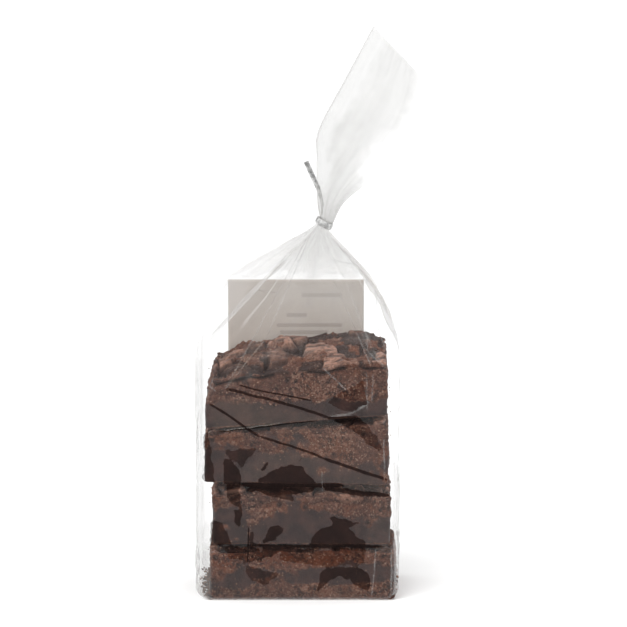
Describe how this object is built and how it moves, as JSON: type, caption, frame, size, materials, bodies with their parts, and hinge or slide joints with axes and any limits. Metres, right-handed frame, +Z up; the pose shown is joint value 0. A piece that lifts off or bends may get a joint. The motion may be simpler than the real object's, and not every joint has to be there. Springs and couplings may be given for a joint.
{
  "type": "bag of chocolate brownies",
  "caption": "Stack of chocolate brownie slabs in a clear gusseted film bag, gathered at the neck by a foil twist tie, with a plain paper label on the back.",
  "frame": {"origin": "middle of the bag's flat base, on the surface it stands on", "axes": "+Z up towards the fan of spare film, +X to the right of the shown front, -Y out of the shown front, so the label is on the +Y side"},
  "size_m": [0.117, 0.0626, 0.2792],
  "materials": {
    "clear_film": "thin clear glossy food film, faintly milky where layers gather, with crisp creases",
    "brownie": "dark fudgy chocolate crumb with a smeared cut face, a paper-thin lighter crackled crust and loose crumbs",
    "tie_foil": "crumpled silver foil tape over a wire",
    "label_paper": null
  },
  "bodies": {
    "root": {"bag": "clear_film", "twist_tie": "tie_foil", "label": "label_paper"}
  },
  "joints": []
}
